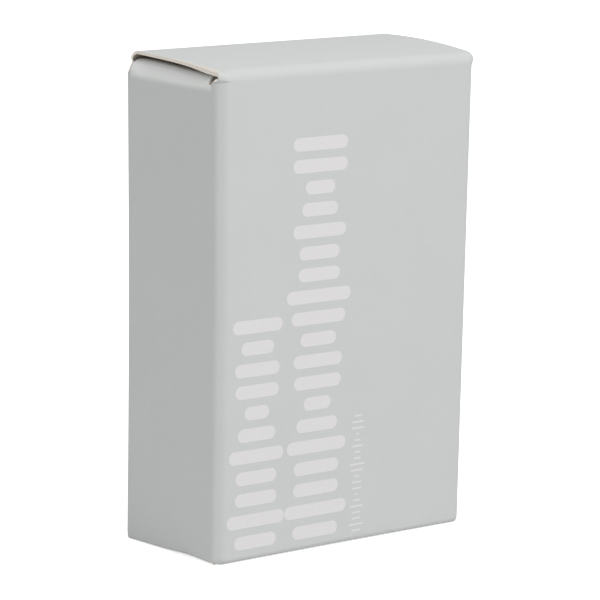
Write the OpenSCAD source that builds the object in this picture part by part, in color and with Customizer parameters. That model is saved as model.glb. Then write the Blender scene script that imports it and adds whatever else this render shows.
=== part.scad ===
// Tuck-end carton of foam ear plugs, closed and standing on its base.
// Origin: centre of the base. +Z up, X across the broad face, -Y towards the printed front.
// The carton is one creased blank. It is drawn as its panels and flaps, parted along the creases.

/* [Carton] */
// Width across the broad front
carton_w = 53; // [52:0.5:60]
// Depth from front to back
carton_d = 25; // [25:0.5:30]
// Height of the front panel with its folds
carton_h = 80; // [79:0.5:95]
// Thickness of the paperboard
board_t = 0.5; // [0.35:0.05:0.5]
// Outside radius of the soft folds
fold_r = 2; // [1.6:0.1:2.2]

/* [Lid] */
// Slope of the lid, which springs up a little towards the back, in degrees
lid_tilt = 3.5; // [0:0.5:4]
// Slope that the arch adds at the front of the lid and takes off at the back, in degrees
lid_arch = 5; // [1:0.5:6]
// Length of the flat part of the lid's tuck flap
lid_tuck_len = 8; // [5:0.5:8]
// Lean of the lid's tuck flap away from the back panel, in degrees
lid_tuck_lean = 9.5; // [9:0.5:11]

/* [Base] */
// Length of the flat part of the base's tuck flap
base_tuck_len = 6; // [4:0.5:6]
// Lean of the base's tuck flap away from the back panel, in degrees
base_tuck_lean = 11; // [10:0.5:12]

/* [Flaps] */
// Reach of a dust flap, measured in from the outside of its side panel
dust_len = 19; // [14:0.5:22]
// Width of the glue flap inside the right panel
glue_w = 9; // [6:0.5:12]

/* [Ear plugs] */
// Diameter of a plug at its base
plug_d = 11.2; // [10:0.1:11.2]
// Length of a plug
plug_len = 23; // [20:0.5:23]

/* [Hidden] */
$fn = 96;

outside = "#c9ccc8";
inside = "#b9b4a6";
foam = "#e9dccb";

half_w = carton_w / 2;
half_d = carton_d / 2;
corner_x = half_w - fold_r;
corner_y = half_d - fold_r;

// The bare edges of the creased blank stop short of the folds beside them by these amounts.
split_deg = 0.8;
fold_steps = 8;
sheet_steps = 12;
seam_gap = 0.06;
lid_side_gap = 0.4;
raw_edge_drop = 0.6;
raw_side_drop = 0.3;

// The base is flat, with no slope or arch.
base_tilt = 0;
base_arch = 0;

// The tuck folds sit just inside the back panel.
tuck_r = 1.3;
tuck_gap = 0.25;
tuck_side_gap = 1.1;
tuck_corner_r = 4;

// The dust flaps lie under the lid and over the base panel.
lid_dust_gap = 0.6;
base_dust_gap = 0.35;
dust_root_front = fold_r + 0.35;
dust_tip_front = 9;
dust_back_y = half_d - 1.95;
dust_shoulder_y = corner_y - 0.1;
dust_shoulder_len = 1.6;
dust_corner = 1.5;

// The back panel's right fold runs inside the right panel and carries the glue flap.
glue_fold_r = 1.5;
glue_face_x = half_w - board_t - seam_gap;
glue_end_inset = 4;
glue_taper = 3;

// Plugs stand nose up in three layers of two staggered rows of four.
plug_nose_r = plug_d / 2 - 0.6;
plug_edge_r = 0.6;
plugs_in_row = 4;
plugs_in_layer = 2 * plugs_in_row;
plug_pitch = 11.45;
row_shift = 4.9;
row_step = 10.25;
first_plug_y = -half_d + board_t + 0.3 + plug_d / 2;
first_plug_x = -(plug_pitch * (plugs_in_row - 1) + row_shift) / 2;
layer_gap = 0.12;
plug_floor_z = base_dust_gap + 2 * board_t + 0.15;

// --- shapes of bent board ---

// Ring sector about the origin, from angle a0 to a1, less than half a turn
module arc_strip(outer_r, a0, a1) {
    reach = outer_r * 2;
    am = (a0 + a1) / 2;
    intersection() {
        difference() {
            circle(outer_r);
            circle(outer_r - board_t);
        }
        polygon([
            [0, 0],
            reach * [cos(a0), sin(a0)],
            reach * [cos(am), sin(am)],
            reach * [cos(a1), sin(a1)],
        ]);
    }
}

// Sweeps a profile drawn as (y, z) along X, centred
module along_x(len) {
    translate([-len / 2, 0, 0])
        rotate([90, 0, 90])
            linear_extrude(len)
                children();
}

// Sweeps a profile drawn as (x, z) from y0 to y1
module along_y(y0, y1) {
    translate([0, y1, 0])
        rotate([90, 0, 0])
            linear_extrude(y1 - y0)
                children();
}

// Upright fold about Z at a corner of the sleeve, from angle a0 to a1
module upright_fold(x, y, r, a0, a1, z0, z1) {
    translate([x, y, z0])
        linear_extrude(z1 - z0)
            arc_strip(r, a0, a1);
}

// --- closures: both are drawn at the top, with z = 0 at the top of the front panel ---

function hinge_end(tilt, arch) = 90 + tilt + arch;
function hinge_split(tilt, arch) = (180 + hinge_end(tilt, arch)) / 2;
function hinge_centre() = [-corner_y, -fold_r];
function hinge_point(tilt, arch) = hinge_centre()
    + fold_r * [cos(hinge_end(tilt, arch)), sin(hinge_end(tilt, arch))];
function tuck_start(tilt, arch) = 90 + tilt - arch;
function tuck_centre_y() = half_d - board_t - tuck_gap - tuck_r;
function sheet_chord(tilt, arch) =
    (tuck_centre_y() + tuck_r * cos(tuck_start(tilt, arch)) - hinge_point(tilt, arch)[0]) / cos(tilt);
function tuck_centre(tilt, arch) = hinge_point(tilt, arch)
    + sheet_chord(tilt, arch) * [cos(tilt), sin(tilt)]
    - tuck_r * [cos(tuck_start(tilt, arch)), sin(tuck_start(tilt, arch))];
function tuck_split(tilt, arch, lean) = (tuck_start(tilt, arch) - lean) / 2;

function arc_points(centre, r, a0, a1, steps) =
    [for (i = [0:steps]) centre + r * [cos(a0 + (a1 - a0) * i / steps), sin(a0 + (a1 - a0) * i / steps)]];

// Points between the ends of the arched sheet: its outer face, or its inner face at the board's depth
function sheet_points(tilt, arch, depth) =
    arch == 0 ? [] :
    let (a0 = hinge_end(tilt, arch), a1 = tuck_start(tilt, arch))
    let (r = sheet_chord(tilt, arch) / (2 * sin(arch)))
    let (centre = hinge_point(tilt, arch) - r * [cos(a0), sin(a0)])
    let (step = (a1 - a0) / sheet_steps)
    arc_points(centre, r - depth, a0 + step, a1 - step, sheet_steps - 2);

// One face of a closure panel, from the parting in its front fold to the parting in its tuck fold
function panel_points(tilt, arch, lean, depth) = concat(
    arc_points(hinge_centre(), fold_r - depth,
        hinge_split(tilt, arch) - split_deg, hinge_end(tilt, arch), fold_steps),
    sheet_points(tilt, arch, depth),
    arc_points(tuck_centre(tilt, arch), tuck_r - depth,
        tuck_start(tilt, arch), tuck_split(tilt, arch, lean) + split_deg, fold_steps)
);

// One face of a tuck flap, from the parting in its fold to its tip
function tuck_points(tilt, arch, len, lean, depth) = concat(
    arc_points(tuck_centre(tilt, arch), tuck_r - depth,
        tuck_split(tilt, arch, lean) - split_deg, -lean, fold_steps),
    [tuck_centre(tilt, arch) + (tuck_r - depth) * [cos(lean), -sin(lean)] - len * [sin(lean), cos(lean)]]
);

function reversed(points) = [for (i = [len(points) - 1:-1:0]) points[i]];

// Front fold, sheet and start of the tuck fold
module closure_panel(tilt, arch, lean) {
    along_x(carton_w - 2 * lid_side_gap)
        polygon(concat(
            panel_points(tilt, arch, lean, 0),
            reversed(panel_points(tilt, arch, lean, board_t))
        ));
}

// Rest of the tuck fold and a flat tab with rounded corners, which leans away from the back panel
module closure_tuck(tilt, arch, len, lean) {
    w = carton_w - 2 * tuck_side_gap;
    tip = tuck_centre(tilt, arch)[1] - tuck_r * sin(lean) - len * cos(lean);
    intersection() {
        along_x(w)
            polygon(concat(
                tuck_points(tilt, arch, len, lean, 0),
                reversed(tuck_points(tilt, arch, len, lean, board_t))
            ));
        translate([0, half_d, tip])
            rotate([90, 0, 0])
                linear_extrude(carton_d / 2)
                    tab_outline(w, 2 * len);
    }
}

// Tab with its rounded end at y = 0, reaching up to y = len
module tab_outline(w, len) {
    translate([-w / 2, tuck_corner_r])
        square([w, len]);
    translate([tuck_corner_r - w / 2, -1])
        square([w - 2 * tuck_corner_r, len]);
    for (side = [-1, 1])
        translate([side * (w / 2 - tuck_corner_r), tuck_corner_r])
            circle(tuck_corner_r);
}

// Outline of a left dust flap seen from above, from the end of its fold to its tip
module dust_outline() {
    root_x = fold_r - half_w;
    tip_x = dust_len - half_w;
    root_y = dust_root_front - half_d;
    tip_y = dust_tip_front - half_d;
    polygon([
        [root_x, root_y],
        [tip_x, tip_y],
        [tip_x, dust_back_y - dust_corner],
        [tip_x - dust_corner, dust_back_y],
        [root_x + dust_shoulder_len, dust_back_y],
        [root_x, dust_shoulder_y],
    ]);
}

// Left dust flap with its half of the fold, its outer face at z = 0
module dust_flap() {
    translate([0, 0, -board_t])
        linear_extrude(board_t)
            dust_outline();
    along_y(dust_root_front - half_d, dust_shoulder_y)
        translate([-corner_x, -fold_r])
            arc_strip(fold_r, 90, 135 - split_deg);
}

// Side panel's half of a dust flap's fold, its outer face at z = 0
module dust_fold_root() {
    along_y(-corner_y, corner_y)
        translate([-corner_x, -fold_r])
            arc_strip(fold_r, 135 + split_deg, 180);
}

top_dust_z = carton_h - board_t - lid_dust_gap;
base_dust_z = board_t + base_dust_gap;
wall_bottom = base_dust_z + fold_r;
wall_top = top_dust_z - fold_r;

// Turns a piece drawn for the top closure into one for the base
module at_base(z) {
    translate([0, 0, z])
        mirror([0, 0, 1])
            children();
}

// --- sleeve ---

module front_panel() {
    color(outside) {
        translate([-corner_x, -half_d, fold_r])
            cube([2 * corner_x, board_t, carton_h - 2 * fold_r]);
        for (side = [0, 1])
            mirror([side, 0, 0])
                upright_fold(-corner_x, -corner_y, fold_r, 225 + split_deg, 270, fold_r, carton_h - fold_r);
        translate([0, 0, carton_h])
            along_x(2 * corner_x)
                translate(hinge_centre())
                    arc_strip(fold_r, hinge_split(lid_tilt, lid_arch) + split_deg, 180);
        at_base(0)
            along_x(2 * corner_x)
                translate(hinge_centre())
                    arc_strip(fold_r, hinge_split(base_tilt, base_arch) + split_deg, 180);
    }
}

module back_panel() {
    edge_z = raw_edge_drop;
    tall = carton_h - 2 * raw_edge_drop;
    glue_corner_x = glue_face_x - glue_fold_r;
    color(outside) {
        translate([-corner_x, half_d - board_t, edge_z])
            cube([corner_x + glue_corner_x, board_t, tall]);
        upright_fold(-corner_x, corner_y, fold_r, 90, 135 - split_deg, edge_z, edge_z + tall);
        upright_fold(glue_corner_x, half_d - glue_fold_r, glue_fold_r, 45 + split_deg, 90, edge_z, edge_z + tall);
    }
}

// Side panel drawn on the left; back_fold adds its half of the fold to the back panel
module side_panel(back_fold) {
    translate([-half_w, -corner_y, wall_bottom])
        cube([board_t, 2 * corner_y, wall_top - wall_bottom]);
    upright_fold(-corner_x, -corner_y, fold_r, 180, 225 - split_deg, fold_r, carton_h - fold_r);
    if (back_fold)
        upright_fold(-corner_x, corner_y, fold_r, 135 + split_deg, 180,
            raw_edge_drop, carton_h - raw_edge_drop);
    if (!back_fold)
        translate([-half_w, corner_y, raw_edge_drop])
            cube([board_t, fold_r - raw_side_drop, carton_h - 2 * raw_edge_drop]);
    translate([0, 0, top_dust_z])
        dust_fold_root();
    at_base(base_dust_z)
        dust_fold_root();
}

module left_panel() {
    color(outside)
        side_panel(true);
}

module right_panel() {
    color(outside)
        mirror([1, 0, 0])
            side_panel(false);
}

module glue_flap() {
    near_y = half_d - glue_fold_r;
    far_y = near_y - glue_w;
    low = glue_end_inset;
    high = carton_h - glue_end_inset;
    color(inside) {
        translate([glue_face_x - board_t, 0, 0])
            rotate([90, 0, 90])
                linear_extrude(board_t)
                    polygon([
                        [near_y, low],
                        [near_y, high],
                        [far_y, high - glue_taper],
                        [far_y, low + glue_taper],
                    ]);
        upright_fold(glue_face_x - glue_fold_r, near_y, glue_fold_r, 0, 45 - split_deg, low, high);
    }
}

// --- top closure ---

module lid_panel() {
    color(outside)
        translate([0, 0, carton_h])
            closure_panel(lid_tilt, lid_arch, lid_tuck_lean);
}

module lid_tuck_flap() {
    color(outside)
        translate([0, 0, carton_h])
            closure_tuck(lid_tilt, lid_arch, lid_tuck_len, lid_tuck_lean);
}

module top_dust_flap_left() {
    color(outside)
        translate([0, 0, top_dust_z])
            dust_flap();
}

module top_dust_flap_right() {
    color(outside)
        translate([0, 0, top_dust_z])
            mirror([1, 0, 0])
                dust_flap();
}

// --- base closure ---

module base_panel() {
    color(outside)
        at_base(0)
            closure_panel(base_tilt, base_arch, base_tuck_lean);
}

module base_tuck_flap() {
    color(outside)
        at_base(0)
            closure_tuck(base_tilt, base_arch, base_tuck_len, base_tuck_lean);
}

module base_dust_flap_left() {
    color(outside)
        at_base(base_dust_z)
            dust_flap();
}

module base_dust_flap_right() {
    color(outside)
        at_base(base_dust_z)
            mirror([1, 0, 0])
                dust_flap();
}

// --- ear plugs ---

// Half profile of a plug: rounded base edge, slightly tapered body, round nose
module plug_profile() {
    base_r = plug_d / 2;
    nose_z = plug_len - plug_nose_r;
    polygon([
        [0, 0],
        [base_r - plug_edge_r, 0],
        [base_r, plug_edge_r],
        [plug_nose_r, nose_z],
        [0, nose_z],
    ]);
    translate([base_r - plug_edge_r, plug_edge_r])
        circle(plug_edge_r, $fn = 48);
    intersection() {
        translate([0, nose_z])
            circle(plug_nose_r);
        translate([0, nose_z - 1])
            square([plug_nose_r, plug_nose_r + 1]);
    }
}

// Plugs count from the top layer down; in a layer, the front row first, from left to right
module ear_plug(n) {
    layer = floor((n - 1) / plugs_in_layer);
    in_layer = (n - 1) % plugs_in_layer;
    row = floor(in_layer / plugs_in_row);
    column = in_layer % plugs_in_row;
    x = first_plug_x + column * plug_pitch + row * row_shift;
    y = first_plug_y + row * row_step;
    z = plug_floor_z + (2 - layer) * (plug_len + layer_gap);
    color(foam)
        translate([x, y, z])
            rotate_extrude()
                plug_profile();
}

front_panel();
back_panel();
left_panel();
right_panel();
glue_flap();
lid_panel();
lid_tuck_flap();
top_dust_flap_left();
top_dust_flap_right();
base_panel();
base_tuck_flap();
base_dust_flap_left();
base_dust_flap_right();
ear_plug(1);  // ear_plug_01
ear_plug(2);  // ear_plug_02
ear_plug(3);  // ear_plug_03
ear_plug(4);  // ear_plug_04
ear_plug(5);  // ear_plug_05
ear_plug(6);  // ear_plug_06
ear_plug(7);  // ear_plug_07
ear_plug(8);  // ear_plug_08
ear_plug(9);  // ear_plug_09
ear_plug(10);  // ear_plug_10
ear_plug(11);  // ear_plug_11
ear_plug(12);  // ear_plug_12
ear_plug(13);  // ear_plug_13
ear_plug(14);  // ear_plug_14
ear_plug(15);  // ear_plug_15
ear_plug(16);  // ear_plug_16
ear_plug(17);  // ear_plug_17
ear_plug(18);  // ear_plug_18
ear_plug(19);  // ear_plug_19
ear_plug(20);  // ear_plug_20
ear_plug(21);  // ear_plug_21
ear_plug(22);  // ear_plug_22
ear_plug(23);  // ear_plug_23
ear_plug(24);  // ear_plug_24
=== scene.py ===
"""A closed tuck-end carton of foam ear plugs: soft-folded board around bullet-shaped plugs."""

import math

import bmesh
import bpy
import numpy as np
from mathutils import Matrix, Vector


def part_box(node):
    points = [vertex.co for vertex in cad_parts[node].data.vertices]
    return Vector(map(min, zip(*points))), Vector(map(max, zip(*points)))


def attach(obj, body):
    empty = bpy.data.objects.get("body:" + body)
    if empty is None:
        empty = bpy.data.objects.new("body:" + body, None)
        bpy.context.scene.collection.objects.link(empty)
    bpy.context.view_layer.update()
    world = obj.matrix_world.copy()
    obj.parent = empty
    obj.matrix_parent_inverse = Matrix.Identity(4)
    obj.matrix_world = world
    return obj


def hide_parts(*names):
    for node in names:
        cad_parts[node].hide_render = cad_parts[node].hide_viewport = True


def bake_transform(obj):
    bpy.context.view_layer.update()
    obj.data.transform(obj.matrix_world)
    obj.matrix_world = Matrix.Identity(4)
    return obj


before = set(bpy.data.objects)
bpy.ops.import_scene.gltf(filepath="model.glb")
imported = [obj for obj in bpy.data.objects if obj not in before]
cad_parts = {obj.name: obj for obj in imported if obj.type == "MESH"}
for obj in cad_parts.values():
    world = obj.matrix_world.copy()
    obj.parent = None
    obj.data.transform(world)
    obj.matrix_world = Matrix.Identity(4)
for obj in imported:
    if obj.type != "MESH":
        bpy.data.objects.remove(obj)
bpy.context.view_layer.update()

MM = 0.001


# --- dimensions, in millimetres ---

def box_mm(node):
    low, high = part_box(node)
    return np.array(low) / MM, np.array(high) / MM


BOARD = 0.5                                # thickness
RAW_DROP = 0.6                             # the back panel's raw edges stop this far short
HALF_W = box_mm("right_panel")[1][0]
HALF_D = box_mm("back_panel")[1][1]
TOP = box_mm("back_panel")[1][2] + RAW_DROP  # height of the front panel with its folds
DUST_TOP = box_mm("top_dust_flap_left")[1][2]
DUST_BASE = box_mm("base_dust_flap_left")[0][2]

CORNER_R = 1.6                             # outside radius of the sleeve's upright folds
NEAR_R = 2.2                               # and of the softer one at the front left
FOLD = 2.0                                 # and of the folds at the top
SIDE_RISE = 3.6                            # height of the soft folds over the side panels
BACK_RISE = 1.3                            # and at their back ends
BASE_FOLD = 1.0                            # radius of the fold at the front's foot
SIDE_BASE_FOLD = 0.5                       # and at the sides' feet
TUCK_R = 2.0
TUCK_GAP = 0.25                            # between a tuck fold and the back panel
GLUE_R = 1.5                               # radius of the fold to the glue flap
GLUE_X = HALF_W - BOARD - 0.06             # outer face of the glue flap, on the right panel
LIP = 0.2                                  # each fold's piece runs this far onto the flat panel
CORNER_X = HALF_W - CORNER_R
SEAM_Y = HALF_D - CORNER_R - LIP
FRONT_SEAM_Y = {-1: NEAR_R + LIP - HALF_D, 1: -SEAM_Y}
SEAM_GAP = 0.8                             # from the side folds down to the upper seams
SEAM_TOP = DUST_TOP - SIDE_RISE - SEAM_GAP  # the sleeve's pieces end and the closures' begin here
SEAM_BASE = 3.2                            # and here
QUARTER = CORNER_R * math.pi / 2

CORNER_HIGH = DUST_TOP - 0.75              # top of the back-left corner, beside the side panel
CORNER_LOW = 0.12                          # and its foot
BASE_LEVEL = 0.1                           # lowest point of the folds under the side panels
LID_HALF = 26.15                           # half widths of the lid, the base and the lid's tab
BASE_HALF = 23.2
TAB_HALF = HALF_W - 1.1
LID_RIM = math.radians(52)                 # raw edges stand this far round the front corners
BASE_RIM = math.radians(68)

LID_TAPER = 0.4                            # the lid's left edge draws in towards the tuck
LID_DROOP = 0.45                           # and hangs this much lower
LID_SWELLING = 0.45                        # share by which its rubbed edge is thicker

FRONT_BOW = 0.12                           # bulges of the flat panels
SIDE_BOW = 0.10
BELLY = 0.008                              # departures from a true box, see settle()
FLARE = 0.022
FLARE_SKEW = 0.010
WAIST = 0.009
BASE_RISE = 0.10
LEFT_RISE = 0.26
TWIST = 0.007

WEAR_WIDTH = 1.9                           # widest reach of the rubbed strip on the lid
PRINT_FOOT = 1.4                           # height at which the print starts

PLUGS = 24
PLUG_SEED = 7                              # for the unevenness of each plug


# --- colours and roughness ---

SAGE = (0.600, 0.619, 0.609)
SPECKLE = (0.9, 0.9, 0.88)
INK = (0.752, 0.738, 0.740)
CREAM = (0.730, 0.670, 0.595)
CORE = (0.900, 0.850, 0.775)
CORE_SHADE = (0.80, 0.74, 0.66)
# colour of the painted highlight over the top side folds
PAINTED_HIGHLIGHT = (0.800, 0.812, 0.800)
# grey-brown uncoated back of the board, drawn darker than that board: partly painted shade for the
# gap under the lid's edge
GREYBACK_AND_SHADE = (0.360, 0.320, 0.265)
FOAM = (0.840, 0.640, 0.560)
FLOOR = (0.86, 0.86, 0.86)
WHITE = (1.0, 1.0, 1.0)

COATED = 0.62
UNCOATED = 0.88


def shade(colour, factor):
    return tuple(min(1.0, c * factor) for c in colour)


# --- materials ---

def feed(links, socket, value):
    """Sets an input to a number, colour or vector, or links it to another node's output."""
    if isinstance(value, (int, float)):
        socket.default_value = value
    elif isinstance(value, tuple):
        socket.default_value = (*value, 1.0) if socket.type == "RGBA" else value
    else:
        links.new(value, socket)


class Shading:
    """A new material with one principled shader. Each method adds a node and returns its output;
    their values may be numbers, colours or outputs."""

    def __init__(self, name):
        self.material = bpy.data.materials.new(name)
        self.material.use_nodes = True
        self.nodes, self.links = self.material.node_tree.nodes, self.material.node_tree.links
        self.nodes.clear()
        out = self.nodes.new("ShaderNodeOutputMaterial")
        self.shader = self.nodes.new("ShaderNodeBsdfPrincipled")
        self.links.new(self.shader.outputs["BSDF"], out.inputs["Surface"])

    def surface(self, inputs):
        for name, value in inputs.items():
            feed(self.links, self.shader.inputs[name], value)

    def place(self):
        return self.nodes.new("ShaderNodeTexCoord").outputs["Object"]

    def axes(self, place):
        node = self.nodes.new("ShaderNodeSeparateXYZ")
        self.links.new(place, node.inputs["Vector"])
        return node.outputs["X"], node.outputs["Y"], node.outputs["Z"]

    def math(self, operation, *values):
        node = self.nodes.new("ShaderNodeMath")
        node.operation = operation
        for socket, value in zip(node.inputs, values):
            feed(self.links, socket, value)
        return node.outputs[0]

    def product(self, first, *others):
        for value in others:
            first = self.math("MULTIPLY", first, value)
        return first

    def noise(self, place, scale, detail, roughness):
        node = self.nodes.new("ShaderNodeTexNoise")
        node.inputs["Scale"].default_value = scale
        node.inputs["Detail"].default_value = detail
        node.inputs["Roughness"].default_value = roughness
        self.links.new(place, node.inputs["Vector"])
        return node.outputs["Fac"]

    def mix(self, factor, a, b):
        node = self.nodes.new("ShaderNodeMix")
        node.data_type = "RGBA"
        colour_in = [s for s in node.inputs if s.type == "RGBA"]
        for socket, value in zip((node.inputs[0], colour_in[0], colour_in[1]), (factor, a, b)):
            feed(self.links, socket, value)
        return [s for s in node.outputs if s.type == "RGBA"][0]

    def remap(self, value, low, high, to_low=0.0, to_high=1.0):
        node = self.nodes.new("ShaderNodeMapRange")
        ends = {"From Min": low, "From Max": high, "To Min": to_low, "To Max": to_high}
        for socket, number in ends.items():
            node.inputs[socket].default_value = number
        self.links.new(value, node.inputs["Value"])
        return node.outputs["Result"]

    def bump(self, height, distance, strength):
        node = self.nodes.new("ShaderNodeBump")
        node.inputs["Distance"].default_value = distance
        node.inputs["Strength"].default_value = strength
        self.links.new(height, node.inputs["Height"])
        return node.outputs["Normal"]


def paper_grain(mat, place):
    """Height of the board's surface: fine fibres, pulled long in the board's grain direction."""
    stretch = mat.nodes.new("ShaderNodeMapping")
    stretch.inputs["Scale"].default_value = (1.0, 1.0, 0.35)
    mat.links.new(place, stretch.inputs["Vector"])
    fibres = mat.noise(stretch.outputs["Vector"], scale=5200, detail=3.0, roughness=0.6)
    pebble = mat.noise(place, scale=1500, detail=2.0, roughness=0.5)
    return mat.math("ADD", mat.product(fibres, 0.6), pebble)


def board_colour(mat, place, base):
    """Base colour with the slow mottle and fine speckle of printed board."""
    cloud = mat.noise(place, scale=90, detail=3.0, roughness=0.55)
    speck = mat.noise(place, scale=1800, detail=2.0, roughness=0.6)
    mottled = mat.mix(mat.remap(cloud, 0.35, 0.65), shade(base, 0.992), shade(base, 1.006))
    return mat.mix(mat.remap(speck, 0.3, 0.75, 0.0, 0.05), mottled, SPECKLE)


def lid_wear(mat, place):
    """Mask of the rubbed strip beside the lid's left raw edge, widest towards the hinge."""
    x, y, z = mat.axes(place)
    ragged = mat.noise(place, scale=900, detail=4.0, roughness=0.6)
    inward = mat.math("ADD", x, (HALF_W + 0.05) * MM)
    towards_hinge = mat.remap(y, (HALF_D - 4) * MM, (-HALF_D + 2) * MM, 0.15, 1.0)
    width = mat.product(towards_hinge, ragged, WEAR_WIDTH * MM)
    rubbed = mat.remap(mat.math("SUBTRACT", width, inward), -0.15 * MM, 0.25 * MM)
    on_lid = mat.remap(z, (TOP - 0.9) * MM, (TOP - 0.4) * MM)
    return mat.product(rubbed, on_lid)


def fold_painted_highlight(mat, place):
    """Mask of the paler band over a top side fold: a painted highlight, laid on top of the light
    that the fold's shape catches.
    """
    x, y, z = mat.axes(place)
    rise = mat.remap(y, -HALF_D * MM, HALF_D * MM, 0.0, 0.7 * MM)
    height = mat.math("SUBTRACT", z, rise)
    on_fold = mat.remap(height, (DUST_TOP - 2.9) * MM, (DUST_TOP - 2.1) * MM)
    on_side = mat.remap(mat.math("ABSOLUTE", x), (HALF_W - 3.0) * MM, (HALF_W - 2.2) * MM)
    return mat.product(on_fold, on_side)


def board_material(name, base, roughness, print_mask=None, wear_and_highlight_mask=None, wear_and_highlight=None):
    """Paperboard. The last two arguments give a mask and the colour it brings in, with how much of
    it: rubbed wear on the lid, a painted highlight over the side folds.
    """
    mat = Shading(name)
    place = mat.place()
    colour = board_colour(mat, place, base)
    if print_mask:
        patchy = mat.noise(place, scale=2600, detail=2.0, roughness=0.6)
        cover = mat.product(print_mask(mat, place), mat.remap(patchy, 0.3, 0.5, 0.82, 1.0))
        colour = mat.mix(cover, colour, INK)
    # the mask brings in real wear on the lid and a painted highlight on the side folds
    if wear_and_highlight_mask:
        wear_and_highlight_colour, share = wear_and_highlight
        colour = mat.mix(mat.product(wear_and_highlight_mask(mat, place), share), colour, wear_and_highlight_colour)
    gloss = mat.noise(place, scale=400, detail=3.0, roughness=0.6)
    mat.surface({
        "Base Color": colour,
        "Roughness": mat.remap(gloss, 0.3, 0.7, roughness - 0.05, roughness + 0.06),
        "Normal": mat.bump(paper_grain(mat, place), distance=0.00002, strength=0.55),
        "IOR": 1.42,
        "Specular IOR Level": 0.35,
    })
    return mat.material


def edge_material():
    """Cut edge of the board: cream core with fine layers and fibres."""
    mat = Shading("board_cut_edge")
    fibres = mat.noise(mat.place(), scale=4200, detail=4.0, roughness=0.7)
    mat.surface({
        "Base Color": mat.mix(mat.remap(fibres, 0.35, 0.65), CORE_SHADE, CORE),
        "Roughness": 0.92,
        "Normal": mat.bump(fibres, distance=0.00006, strength=0.8),
        "Specular IOR Level": 0.15,
    })
    return mat.material


def foam_material():
    """Soft foam with open pores, their pits darkened with painted shade."""
    mat = Shading("slow_recovery_foam")
    place = mat.place()
    pores = mat.nodes.new("ShaderNodeTexVoronoi")
    pores.inputs["Scale"].default_value = 1900
    mat.links.new(place, pores.inputs["Vector"])
    pit = mat.remap(pores.outputs["Distance"], 0.0, 0.42)
    cloud = mat.noise(place, scale=260, detail=3.0, roughness=0.6)
    body = mat.mix(mat.remap(cloud, 0.3, 0.7), shade(FOAM, 0.94), FOAM)
    fine = mat.noise(place, scale=5200, detail=2.0, roughness=0.6)
    height = mat.math("ADD", pit, mat.product(fine, 0.5))
    mat.surface({
        # the pores' pits are drawn darker: painted shade
        "Base Color": mat.mix(pit, shade(FOAM, 0.72), body),
        "Roughness": 0.85,
        "Normal": mat.bump(height, distance=0.00007, strength=0.7),
        "Specular IOR Level": 0.2,
        "Sheen Weight": 0.25,
        "Sheen Roughness": 0.5,
        "Subsurface Weight": 0.12,
        "Subsurface Radius": (0.0016, 0.0010, 0.0008),
        "Subsurface Scale": 0.5,
    })
    return mat.material


# --- generic print: three upright columns of rounded bars, like a sound level fading ---

def wave_column(mat, place, centre_x, high_z, pitch, bar_r, base_half, swing):
    """Mask of one column of short rounded bars. Each bar's half length follows two sine waves."""
    x, y, z = mat.axes(place)
    step = mat.math("DIVIDE", mat.math("SUBTRACT", z, PRINT_FOOT * MM), pitch * MM)
    index = mat.math("FLOOR", step)
    middle = mat.math("SUBTRACT", mat.math("SUBTRACT", step, index), 0.5)
    along = mat.product(middle, pitch * MM)
    quick = mat.math("SINE", mat.product(index, 1.9))
    slow = mat.math("SINE", mat.product(index, 0.73))
    wave = mat.math("ADD", quick, mat.product(slow, 0.6))
    half = mat.math("ADD", mat.product(wave, swing * MM), base_half * MM)
    across = mat.math("ABSOLUTE", mat.math("SUBTRACT", x, centre_x * MM))
    beyond = mat.math("MAXIMUM", mat.math("SUBTRACT", across, half), 0.0)
    squares = mat.math("ADD", mat.product(beyond, beyond), mat.product(along, along))
    blur = 0.03
    bar = mat.remap(mat.math("SQRT", squares), (bar_r + blur) * MM, (bar_r - blur) * MM)
    above = mat.math("GREATER_THAN", z, PRINT_FOOT * MM)
    below = mat.math("LESS_THAN", z, high_z * MM)
    outer_face = mat.math("LESS_THAN", y, (-HALF_D + 0.3) * MM)
    return mat.product(bar, mat.product(above, below), outer_face)


def front_print(mat, place):
    left = wave_column(mat, place, centre_x=-18.8, high_z=40.2, pitch=3.53, bar_r=1.1,
                       base_half=3.2, swing=1.2)
    tall = wave_column(mat, place, centre_x=-6.2, high_z=68.9, pitch=3.55, bar_r=1.1,
                       base_half=3.7, swing=1.3)
    fine = wave_column(mat, place, centre_x=2.7, high_z=21.8, pitch=1.02, bar_r=0.15,
                       base_half=0.8, swing=0.45)
    return mat.math("MAXIMUM", mat.math("MAXIMUM", left, tall), fine)


OUTSIDE = board_material("printed_board", SAGE, COATED)
PRINTED = board_material("printed_board_front", SAGE, COATED, print_mask=front_print)
WORN = board_material("printed_board_lid", SAGE, COATED, wear_and_highlight_mask=lid_wear, wear_and_highlight=(CREAM, 0.75))
# board whose top side folds carry a painted highlight band
FOLD_HIGHLIGHT_BOARD = board_material("printed_board_side_folds_painted_highlight", SAGE, COATED, wear_and_highlight_mask=fold_painted_highlight,
                        wear_and_highlight=(PAINTED_HIGHLIGHT, 0.85))
# the inside colour also carries painted shade for the gap under the lid's edge
INSIDE = board_material("board_inside", GREYBACK_AND_SHADE, UNCOATED)
EDGE = edge_material()
FOAM_MAT = foam_material()


# --- bent board ---

def smooth_step(t):
    t = np.clip(t, 0.0, 1.0)
    return t * t * (3 - 2 * t)


def spaced(*stops):
    """Parameter values through the stops, as (value, steps to the next) pairs ending in a value."""
    out = [stops[0][0]]
    for (a, n), nxt in zip(stops[:-1], stops[1:]):
        b = nxt[0] if isinstance(nxt, tuple) else nxt
        out += [a + (b - a) * k / n for k in range(1, n + 1)]
    return np.array(out)


def grid(rows, cols):
    return np.meshgrid(rows, cols, indexing="ij")


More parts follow.
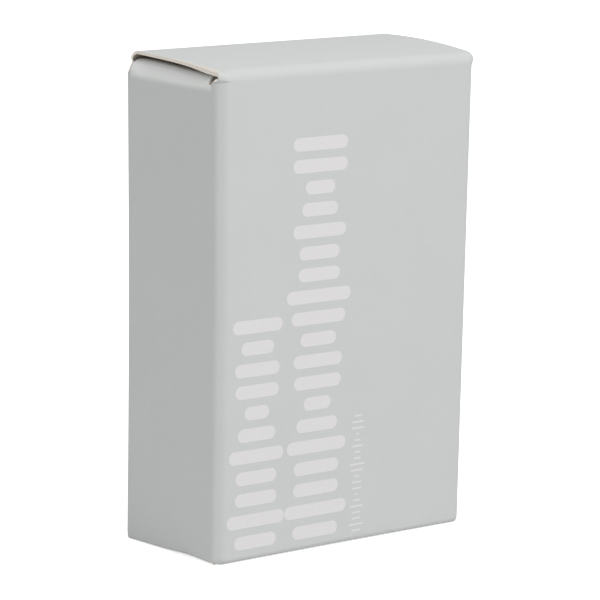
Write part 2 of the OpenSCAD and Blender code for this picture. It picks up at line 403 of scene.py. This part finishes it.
def settle(points):
    """Small departures of a real carton from a true box: its walls belly a little and flare
    upward, more on the right; its back-left corner is drawn in at mid-height; its base edges rise
    between the corners, most near the front left; and its top is twisted up to the right."""
    x, y, z = points[..., 0], points[..., 1], points[..., 2]
    level = np.clip(z / TOP, 0, 1)
    flare = 1 + BELLY + (FLARE + FLARE_SKEW * x / HALF_W) * (level - 0.45)
    waist = 1 - WAIST * np.sin(np.pi * level) * np.clip(0.5 - x / HALF_W / 2, 0, 1)
    between = 1 - np.clip((x / HALF_W) ** 2, 0, 1) * np.clip((y / HALF_D) ** 2, 0, 1)
    near_left = np.clip(-x / HALF_W, 0, 1) ** 6 * np.exp(-((y + HALF_D * 0.36) / 4.5) ** 2)
    rise = (BASE_RISE * between + LEFT_RISE * near_left) * np.exp(-np.clip(z, 0, None) / 5)
    return np.stack([x * flare * waist, y * flare, z + rise + TWIST * x * level ** 2], axis=-1)


def grid_normals(points):
    """Unit normals of a grid of points, from central differences."""
    du = np.gradient(points, axis=0)
    dv = np.gradient(points, axis=1)
    n = np.cross(du, dv)
    return n / np.maximum(np.linalg.norm(n, axis=2, keepdims=True), 1e-12)


def closed_mesh(name, verts, faces, slots, materials, sharp_slot):
    """Mesh object with outward faces; edges beside faces of the sharp slot are creased."""
    mesh = bpy.data.meshes.new(name)
    mesh.from_pydata(verts.tolist(), [], faces)
    for material in materials:
        mesh.materials.append(material)
    mesh.polygons.foreach_set("material_index", slots)
    shell = bmesh.new()
    shell.from_mesh(mesh)
    bmesh.ops.recalc_face_normals(shell, faces=shell.faces)
    for face in shell.faces:
        face.smooth = True
    for edge in shell.edges:
        kinds = {face.material_index == sharp_slot for face in edge.link_faces}
        edge.smooth = len(kinds) == 1
    shell.to_mesh(mesh)
    shell.free()
    obj = bpy.data.objects.new(name, mesh)
    bpy.context.scene.collection.objects.link(obj)
    return obj


def board_sheet(name, outer, flip=False, outside=OUTSIDE, swelling=0.0):
    """Closed thin solid from a grid of points on the board's outer face, in millimetres.
    swelling is how much thicker than the board it is at each point, as a share."""
    outer = settle(outer)
    rows, cols = outer.shape[:2]
    depth = BOARD * (1 + np.broadcast_to(swelling, (rows, cols)))[..., None]
    inner = outer - grid_normals(outer) * (-depth if flip else depth)
    verts = np.concatenate([outer.reshape(-1, 3), inner.reshape(-1, 3)]) * MM

    def vid(i, j, side):
        return side * rows * cols + i * cols + j

    faces, slots = [], []
    for side in (0, 1):
        for i in range(rows - 1):
            for j in range(cols - 1):
                corners = ((i, j), (i + 1, j), (i + 1, j + 1), (i, j + 1))
                faces.append([vid(a, b, side) for a, b in corners])
                slots.append(side)
    rim = [(i, 0) for i in range(rows)] + [(rows - 1, j) for j in range(1, cols)]
    rim += [(i, cols - 1) for i in range(rows - 2, -1, -1)]
    rim += [(0, j) for j in range(cols - 2, 0, -1)]
    for a, b in zip(rim, rim[1:] + rim[:1]):
        faces.append([vid(*a, 0), vid(*a, 1), vid(*b, 1), vid(*b, 0)])
        slots.append(2)
    return closed_mesh(name, verts, faces, slots, (outside, INSIDE, EDGE), 2)


# --- sleeve ---

def creased_corner(steps=240, sharpness=0.75):
    """Unit corner from (0, 0) to (1, 1), bent mostly along two creases, with a flatter band
    between them: its parameter, and how far it has gone along and inward."""
    t = np.linspace(0, 1, steps + 1)
    angle = math.pi / 2 * (t - sharpness * np.sin(4 * np.pi * t) / (4 * np.pi))
    middle = (angle[1:] + angle[:-1]) / 2
    along = np.concatenate([[0], np.cumsum(np.cos(middle))])
    inward = np.concatenate([[0], np.cumsum(np.sin(middle))])
    return t, along / along[-1], inward / inward[-1]


TURN, ALONG, INWARD = creased_corner()


def fold_inset(z, end, rise, depth):
    """How far a side fold that ends at this height has turned in from the panel."""
    return depth * np.interp(np.clip((z - end) / rise + 1, 0, 0.88), ALONG, INWARD)


def front_corner(q):
    """Radius, start and end of the fold on the side of path length q from the front's middle."""
    radius = np.where(np.asarray(q) < 0, NEAR_R, CORNER_R)
    start = HALF_W - radius
    return radius, start, start + radius * math.pi / 2


NEAR_END, FAR_END = float(front_corner(-1)[2]), float(front_corner(1)[2])
ACROSS = spaced((-NEAR_END - LIP, 2), (-NEAR_END, 16), (NEAR_R - HALF_W, 40), (CORNER_X, 14),
                (FAR_END, 2), FAR_END + LIP)


def plan_point(q):
    """Plan position on the sleeve's front and its two corners."""
    radius, start, end = front_corner(q)
    t = np.clip((np.abs(q) - start) / (end - start), 0, 1)
    past = np.maximum(np.abs(q) - end, 0)
    x = np.sign(q) * (np.minimum(np.abs(q), start) + radius * np.interp(t, TURN, ALONG))
    y = -HALF_D + radius * np.interp(t, TURN, INWARD) + past
    return x, y


def bow(t, s, depth):
    """Bulge of a flat panel, zero at its folds; t and s run from 0 to 1 across it."""
    return depth * np.sin(np.pi * np.clip(t, 0, 1)) * np.sin(np.pi * np.clip(s, 0, 1))


def between_seams(z):
    return (z - SEAM_BASE) / (SEAM_TOP - SEAM_BASE)


def front_sleeve():
    q, z = grid(ACROSS, np.linspace(SEAM_BASE, SEAM_TOP, 90))
    x, y = plan_point(q)
    y = y - bow((x + CORNER_X) / (2 * CORNER_X), between_seams(z), FRONT_BOW)
    return board_sheet("front_board", np.dstack([x, y, z]), outside=PRINTED)


def side_sleeve(name, side, back_y=None):
    """Flat side; back_y, if given, is where its raw back edge stands. Past the seams, that edge
    reaches up and down over the ends of the closures' pieces."""
    overlap, ramp = 2.2, 0.25
    front = FRONT_SEAM_Y[side]
    y = spaced((front, 40), SEAM_Y)
    if back_y:
        y = spaced((front, 40), (SEAM_Y, 8), back_y)
    y, t = grid(y, np.linspace(0, 1, 80))
    up = smooth_step((y - SEAM_Y) / ramp) * overlap
    down = up * 0.5
    z = (SEAM_BASE - down) + (SEAM_TOP + up - SEAM_BASE + down) * t
    x = side * (HALF_W - bow((y - front) / (SEAM_Y - front), between_seams(z), SIDE_BOW))
    return board_sheet(name, np.dstack([x, y, z]), flip=side < 0)


def back_sleeve():
    """Back-left fold, back panel with raw top and base edges, and half of the glue fold."""
    flat_start = LIP + QUARTER
    flat_len = CORNER_X + GLUE_X - GLUE_R
    p = spaced((0.0, 2), (LIP, 14), (flat_start, 40), (flat_start + flat_len, 6),
               flat_start + flat_len + GLUE_R * math.pi / 4)
    p, t = grid(p, np.linspace(0, 1, 80))
    a = np.clip((p - LIP) / CORNER_R, 0, math.pi / 2)
    b = np.clip((p - flat_start - flat_len) / GLUE_R, 0, math.pi / 2)
    flat = np.clip(p - flat_start, 0, flat_len)
    x = -CORNER_X - CORNER_R * np.cos(a) + flat + GLUE_R * np.sin(b)
    y = SEAM_Y + np.minimum(p, LIP) + CORNER_R * np.sin(a) - GLUE_R * (1 - np.cos(b))
    raised = smooth_step(p / (flat_start + 1.0))
    high = CORNER_HIGH + (TOP - RAW_DROP - CORNER_HIGH) * raised
    low = CORNER_LOW + (RAW_DROP - CORNER_LOW) * raised
    z = low + (high - low) * t
    top_inset = fold_inset(z, DUST_TOP, BACK_RISE, FOLD)
    base_inset = fold_inset(-z, -BASE_LEVEL, SIDE_BASE_FOLD, SIDE_BASE_FOLD)
    x = x + (top_inset + base_inset) * (1 - raised)
    y = y + bow((x + CORNER_X) / (2 * CORNER_X), z / TOP, FRONT_BOW)
    return board_sheet("back_board", np.dstack([x, y, z]), flip=True)


def glue_flap():
    """The rest of the glue fold and the flap glued inside the right panel."""
    width, inset, taper = 9.0, 4.0, 3.0
    turn = GLUE_R * math.pi / 4
    p, t = grid(spaced((0.0, 6), (turn, 16), turn + width), np.linspace(0, 1, 40))
    b = math.pi / 4 + np.clip(p, 0, turn) / GLUE_R
    flat = np.maximum(p - turn, 0)
    x = GLUE_X - GLUE_R + GLUE_R * np.sin(b)
    y = HALF_D - GLUE_R + GLUE_R * np.cos(b) - flat
    low = inset + taper * flat / width
    z = low + (TOP - 2 * low) * t
    return board_sheet("glue_board", np.dstack([x, y, z]), flip=True)


# --- closures ---

class Closure:
    """Side profile of a lid or base: front fold, arched sheet, tuck fold and tab, as (y, z) paths
    with z measured out of the carton from the end of the front panel. Angles are in degrees."""

    def __init__(self, tilt, arch, fold, lean, tab):
        self.fold, self.lean, self.tab = fold, math.radians(lean), tab
        self.turn = math.radians(90 - tilt - arch)
        self.tuck_from = math.radians(90 + tilt - arch)
        self.slope = math.radians(tilt)
        self.start = np.array([-HALF_D + fold * (1 - math.cos(self.turn)),
                               -fold + fold * math.sin(self.turn)])
        end_y = HALF_D - BOARD - TUCK_GAP - TUCK_R + TUCK_R * math.cos(self.tuck_from)
        self.chord = (end_y - self.start[0]) / math.cos(self.slope)
        self.sag = self.chord / 2 * math.tan(math.radians(arch) / 2)
        end = self.start + self.chord * np.array([math.cos(self.slope), math.sin(self.slope)])
        self.centre = end - TUCK_R * np.array([math.cos(self.tuck_from),
                                               math.sin(self.tuck_from)])
        self.sheet_from = fold * self.turn
        self.sheet_to = self.sheet_from + self.chord
        self.tuck_fold_len = TUCK_R * (self.tuck_from + self.lean)

    def panel(self, v):
        """(y, z) at path length v from the start of the front fold, and the share of the sheet
        that is behind it; negative v is on the front panel."""
        a = np.clip(v / self.fold, 0, self.turn)
        s = np.clip((v - self.sheet_from) / self.chord, 0, 1)
        hump = 4 * self.sag * s * (1 - s)
        y = (-HALF_D + self.fold * (1 - np.cos(a)) + s * self.chord * math.cos(self.slope)
             - hump * math.sin(self.slope))
        z = (-self.fold + self.fold * np.sin(a) + np.minimum(v, 0)
             + s * self.chord * math.sin(self.slope) + hump * math.cos(self.slope))
        return y, z, s

    def tuck(self, w):
        """(y, z) at path length w from the start of the tuck fold, and the length past it."""
        span = self.tuck_from + self.lean
        a = self.tuck_from - np.clip(w / TUCK_R, 0, span)
        flat = np.maximum(w - TUCK_R * span, 0)
        y = self.centre[0] + TUCK_R * np.cos(a) - flat * math.sin(self.lean)
        z = self.centre[1] + TUCK_R * np.sin(a) - flat * math.cos(self.lean)
        return y, z, flat


LID = Closure(tilt=3.6, arch=5.0, fold=FOLD, lean=9.5, tab=8.0)
BASE = Closure(tilt=0.0, arch=0.3, fold=BASE_FOLD, lean=11.0, tab=6.0)


def outermost(u, parts):
    """Rises from 0 to 1 over the last of this many equal parts of u, which runs from 0 to 1."""
    return np.clip(u * parts - (parts - 1), 0, 1) ** 1.5


def closure_sheet(name, shape, direction, end_z, seam, rim_turn, notch, half_width, ear, outside):
    """Strip of the front panel, its soft fold and the closure's sheet. direction is 1 at the top.
    The strip wraps both corners as far as the side seams up to the notch, then its raw edge
    stands at rim_turn round the corner, where it sticks out by ear, and the sheet narrows to
    half_width."""
    top = direction > 0
    notch_run, swollen_at, swollen_over = 0.35, 2.5, 3.5
    ear_at, ear_over = shape.fold * 0.35, shape.fold * 0.55
    lip = abs(end_z - seam) - shape.fold
    v = spaced((-lip, 14), (0.0, 18), (shape.sheet_from, 44), shape.sheet_to)
    v, u = grid(v, ACROSS / (front_corner(ACROSS)[2] + LIP))
    radius, start, end = front_corner(u)
    y, z, s = shape.panel(v)
    rim_q = start + radius * rim_turn
    wraps = 1 - smooth_step((v - notch) / notch_run)
    flat = smooth_step((v - notch) / (shape.sheet_from * 0.9))
    q = u * (rim_q + (end + LIP - rim_q) * wraps + (half_width - rim_q) * flat)
    round_x, round_y = plan_point(q)
    x = round_x + (q - round_x) * flat
    y = y + (round_y + HALF_D) * (1 - flat)
    z = end_z + direction * z
    leaning = np.clip((np.abs(q) - rim_q) / (end - rim_q), 0, 1) ** 2 * (1 - flat)
    if top:
        inset = fold_inset(z, DUST_TOP, FOLD, FOLD)
    else:
        inset = fold_inset(-z, -BASE_LEVEL, SIDE_BASE_FOLD, SIDE_BASE_FOLD)
    x = x - np.sign(u) * leaning * inset
    at_rim = outermost(np.abs(u), 12)
    swelling = 0.0
    if top:
        x = x + LID_TAPER * np.clip(-u, 0, 1) * s
        z = z - LID_DROOP * outermost(-u, 8) * smooth_step(v / shape.sheet_from) * (1 - s ** 4)
        near_fold = np.exp(-((v - shape.sheet_from - swollen_at) / swollen_over) ** 2)
        swelling = LID_SWELLING * at_rim * near_fold
    on_fold = np.exp(-((v - ear_at) / ear_over) ** 2)
    x = x + np.sign(u) * ear * at_rim * on_fold
    return board_sheet(name, np.dstack([x, y, z]), top, outside, swelling)


def tuck_sheet(name, shape, direction, end_z, half_width, tab_half):
    """Tuck fold and its tab, which narrows from half_width to tab_half and has round corners."""
    corner = 4.0
    fold_len = shape.tuck_fold_len
    narrows_at, narrows_over = fold_len * 0.62, fold_len * 0.25
    w = spaced((0.0, 12), (fold_len, 8), (fold_len + shape.tab - corner, 14),
               fold_len + shape.tab - 0.01)
    w, u = grid(w, np.sin(np.linspace(-math.pi / 2, math.pi / 2, 61)))
    y, z, flat = shape.tuck(w)
    in_corner = np.clip(flat - shape.tab + corner, 0, corner)
    narrow = smooth_step((w - narrows_at) / narrows_over)
    half = (half_width + (tab_half - half_width) * narrow - corner
            + np.sqrt(corner ** 2 - in_corner ** 2))
    taper = LID_TAPER * (1 - narrow) * np.clip(-u, 0, 1) if direction > 0 else 0.0
    points = np.dstack([u * half + taper, y, end_z + direction * z])
    return board_sheet(name, points, flip=direction > 0)


def dust_sheet(name, side, direction, seam, level, fold, rise, back_rise, lift, recess, step):
    """Strip of a side panel, its soft fold and the dust flap. level is the height of the fold's
    outer face. The fold is as high as its depth, fold, in front, then rise in the middle and
    back_rise at the back. lift raises it towards the back, recess draws its front end back, and
    the flap stands in from it by step."""
    reach, shoulder = 19.0, 1.6
    tip_front, tip_back = -3.5, 10.5
    back_inset, tip_r = 0.4, 1.5
    recess_at, recess_run, step_run = 0.4, 0.5, 2.0
    front_run, back_run = 5, 4
    quarter = fold * math.pi / 2
    lip = abs(level - seam) - rise
    tip = quarter + reach - fold
    v = spaced((-lip, 8), (0.0, 28), (quarter, 4), (quarter + shoulder, 24), tip)
    v, t = grid(v, np.linspace(0, 1, 49))
    turned = np.clip(v / quarter, 0, 1)
    flat = np.clip(v - quarter, 0, None)
    front = FRONT_SEAM_Y[side] + recess * smooth_step((v - recess_at) / recess_run)
    front = front + (tip_front - front) * flat / (tip - quarter)
    back = SEAM_Y - back_inset * smooth_step((v / quarter - 0.5) / 0.5)
    back = back + (tip_back - SEAM_Y + back_inset) * np.clip(flat / shoulder, 0, 1)
    back = back - tip_r * np.clip((flat - (tip - quarter) + tip_r) / tip_r, 0, 1) ** 2
    y = front + (back - front) * t
    x = side * (HALF_W - fold * np.interp(turned, TURN, INWARD) - flat)
    height = fold + (rise - fold) * smooth_step((y - FRONT_SEAM_Y[side]) / front_run)
    height = back_rise + (height - back_rise) * smooth_step((SEAM_Y - y) / back_run)
    out = -height + height * np.interp(turned, TURN, ALONG)
    below_fold = -(lip + rise) + (v + lip) / lip * (lip + rise - height)
    out = np.where(v < 0, below_fold, out)
    towards_back = smooth_step((y + SEAM_Y) / (2 * SEAM_Y))
    raised = lift * towards_back * smooth_step((v + lip) / (lip + quarter))
    settled = 1 - smooth_step(flat / (tip - quarter))
    z = level + direction * (out + raised * settled - step * smooth_step(flat / step_run))
    # the top flaps get the board with the painted highlight over their folds
    outside = FOLD_HIGHLIGHT_BOARD if direction > 0 else OUTSIDE
    return board_sheet(name, np.dstack([x, y, z]), side * direction > 0, outside)


# --- plugs ---

def plug_profile(base_r, length):
    """(radius, height) points of a plug, from its foot's middle to just below its tip."""
    nose_r, edge_r = base_r - 0.6, 0.6
    straight = length - nose_r
    path = [(base_r * k / 6 * (1 - edge_r / base_r), 0.0) for k in range(1, 6)]
    for k in range(6):
        a = math.pi / 2 * k / 5
        path.append((base_r - edge_r + edge_r * math.sin(a), edge_r - edge_r * math.cos(a)))
    for k in range(1, 15):
        t = k / 15
        path.append((base_r + (nose_r - base_r) * t, edge_r + (straight - edge_r) * t))
    for k in range(14):
        a = math.pi / 2 * k / 14
        path.append((nose_r * math.cos(a), straight + nose_r * math.sin(a)))
    return path


def foam_plug(name, node, rng):
    """Bullet-shaped plug: rounded foot, tapering body, round nose, and the slight unevenness of
    cut foam. It stands a hair inside its node's box."""
    segments, unevenness, margin, lift = 40, 0.022, 0.02, 0.03
    low, high = box_mm(node)
    base_r = (high[0] - low[0]) / 2 - margin
    length = high[2] - low[2]
    path = plug_profile(base_r, length)
    phase = rng.uniform(0, 2 * math.pi, 4)
    verts = [(0.0, 0.0, 0.04)]
    for r, z in path:
        for j in range(segments):
            th = 2 * math.pi * j / segments
            uneven = (math.sin(2 * th + phase[0] + z * 0.35)
                      + 0.7 * math.sin(3 * th + phase[1] - z * 0.5)
                      + 0.5 * math.sin(z * 1.1 + phase[2])
                      + 0.4 * math.sin(5 * th + phase[3] + z * 0.9))
            radius = r * (1 - 0.006) + unevenness * (uneven - 1.5) * r / base_r
            verts.append((radius * math.cos(th), radius * math.sin(th), z + lift))
    verts.append((0.0, 0.0, length - margin))
    centre = np.array([(low[0] + high[0]) / 2, (low[1] + high[1]) / 2, low[2]])
    top = len(verts) - 1
    faces = [[0, 1 + (j + 1) % segments, 1 + j] for j in range(segments)]
    for k in range(len(path) - 1):
        for j in range(segments):
            a, b = 1 + k * segments + j, 1 + k * segments + (j + 1) % segments
            faces.append([a, b, b + segments, a + segments])
    last = 1 + (len(path) - 1) * segments
    faces += [[last + j, last + (j + 1) % segments, top] for j in range(segments)]
    verts = (np.array(verts) + centre) * MM
    return closed_mesh(name, verts, faces, [0] * len(faces), (FOAM_MAT,), 1)


# --- assembly ---

def finish_piece(node):
    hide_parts(node)


for obj, node, slot in (
        (front_sleeve(), "front_panel", "board_outside"),
        (side_sleeve("left_board", -1), "left_panel", "board_outside"),
        (side_sleeve("right_board", 1, HALF_D - 0.3), "right_panel", "board_outside"),
        (back_sleeve(), "back_panel", "board_outside"),
        (glue_flap(), "glue_flap", "board_inside")):
    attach(obj, "sleeve")
    finish_piece(node)

lid = closure_sheet("lid_board", LID, 1, TOP, SEAM_TOP, rim_turn=LID_RIM, notch=-0.05,
                    half_width=LID_HALF, ear=0.30, outside=WORN)
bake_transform(lid)
finish_piece("lid_panel")

base = closure_sheet("base_board", BASE, -1, 0.0, SEAM_BASE, rim_turn=BASE_RIM, notch=0.5,
                     half_width=BASE_HALF, ear=0.0, outside=PRINTED)
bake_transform(base)
finish_piece("base_panel")

for shape, direction, end_z, half, tab_half, panel in (
        (LID, 1, TOP, LID_HALF, TAB_HALF, "lid"),
        (BASE, -1, 0.0, BASE_HALF, BASE_HALF, "base")):
    tuck = tuck_sheet(f"{panel}_tuck_board", shape, direction, end_z, half, tab_half)
    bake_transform(tuck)
    finish_piece(f"{panel}_tuck_flap")

for side, hand in ((-1, "left"), (1, "right")):
    dust = dust_sheet(f"top_dust_board_{hand}", side, 1, SEAM_TOP, level=DUST_TOP, fold=FOLD,
                      rise=SIDE_RISE, back_rise=BACK_RISE, lift=1.1, recess=1.0, step=0.0)
    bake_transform(dust)
    finish_piece(f"top_dust_flap_{hand}")
    dust = dust_sheet(f"base_dust_board_{hand}", side, -1, SEAM_BASE, level=BASE_LEVEL,
                      fold=SIDE_BASE_FOLD, rise=SIDE_BASE_FOLD, back_rise=SIDE_BASE_FOLD,
                      lift=0.0, recess=0.0, step=DUST_BASE - BASE_LEVEL)
    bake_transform(dust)
    finish_piece(f"base_dust_flap_{hand}")

rng = np.random.default_rng(PLUG_SEED)
for number in range(1, PLUGS + 1):
    plug = foam_plug(f"foam_plug_{number:02d}", f"ear_plug_{number:02d}", rng)
    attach(plug, f"plug_{number:02d}")
    finish_piece(f"ear_plug_{number:02d}")


# --- stage, light and camera, in metres ---

FLOOR_SIZE = 4.0
FLOOR_Z = -0.00002
FLOOR_GLOW = 0.75                          # seen by the camera only
LIGHT_SIZE = 0.5
WORLD_SEEN, WORLD_LIGHT = 1.0, 0.56


def make_floor():
    bpy.ops.mesh.primitive_plane_add(size=FLOOR_SIZE, location=(0, 0, FLOOR_Z))
    floor = bpy.context.object
    floor.name = "floor"
    mat = Shading("pale_floor")
    seen = mat.nodes.new("ShaderNodeLightPath").outputs["Is Camera Ray"]
    mat.surface({"Base Color": FLOOR, "Roughness": 0.9, "Emission Color": WHITE,
                 "Emission Strength": mat.product(seen, FLOOR_GLOW)})
    floor.data.materials.append(mat.material)


def area_light(name, location, target, power):
    data = bpy.data.lights.new(name, "AREA")
    data.shape = "SQUARE"
    data.size = LIGHT_SIZE
    data.energy = power
    light = bpy.data.objects.new(name, data)
    light.location = location
    aim = Vector(target) - Vector(location)
    light.rotation_euler = aim.to_track_quat("-Z", "Y").to_euler()
    bpy.context.scene.collection.objects.link(light)


def make_world():
    """White to the camera, and dimmer as light."""
    world = bpy.data.worlds.new("studio")
    bpy.context.scene.world = world
    world.use_nodes = True
    nodes, links = world.node_tree.nodes, world.node_tree.links
    nodes.clear()
    out = nodes.new("ShaderNodeOutputWorld")
    ray = nodes.new("ShaderNodeLightPath")
    mix = nodes.new("ShaderNodeMixShader")
    links.new(ray.outputs["Is Camera Ray"], mix.inputs["Fac"])
    for slot, strength in ((1, WORLD_LIGHT), (2, WORLD_SEEN)):
        background = nodes.new("ShaderNodeBackground")
        background.inputs["Color"].default_value = (*WHITE, 1.0)
        background.inputs["Strength"].default_value = strength
        links.new(background.outputs["Background"], mix.inputs[slot])
    links.new(mix.outputs["Shader"], out.inputs["Surface"])


def make_camera():
    """Long lens from the carton's front left, a little above its middle."""
    azimuth, elevation, roll = (math.radians(a) for a in (-39.881, 9.5355, 0.7736))
    height = TOP * MM
    distance, shift_x, shift_z = 6.983 * height, -0.004 * height, 0.0108 * height
    back = Vector((math.sin(azimuth) * math.cos(elevation),
                   -math.cos(azimuth) * math.cos(elevation), math.sin(elevation)))
    right = Vector((0, 0, 1)).cross(back).normalized()
    up = back.cross(right)
    cam_right = math.cos(roll) * right + math.sin(roll) * up
    cam_up = -math.sin(roll) * right + math.cos(roll) * up
    data = bpy.data.cameras.new("camera")
    data.sensor_width = 36.0
    data.lens = 201.7
    data.clip_end = 20
    cam = bpy.data.objects.new("camera", data)
    cam.matrix_world = Matrix((cam_right, cam_up, back)).transposed().to_4x4()
    cam.location = (Vector((0, 0, 0.5 * height)) + back * distance
                    - cam_right * shift_x - cam_up * shift_z)
    bpy.context.scene.collection.objects.link(cam)
    bpy.context.scene.camera = cam


make_floor()
make_world()
area_light("key", (0.0, -0.50, 0.92), (0, 0, 0.04), 5.4)
area_light("fill", (-0.75, -0.45, 0.10), (0, 0, 0.03), 0.10)
make_camera()
bpy.context.scene.view_settings.view_transform = "Standard"
bpy.context.scene.view_settings.look = "None"

bpy.context.view_layer.update()
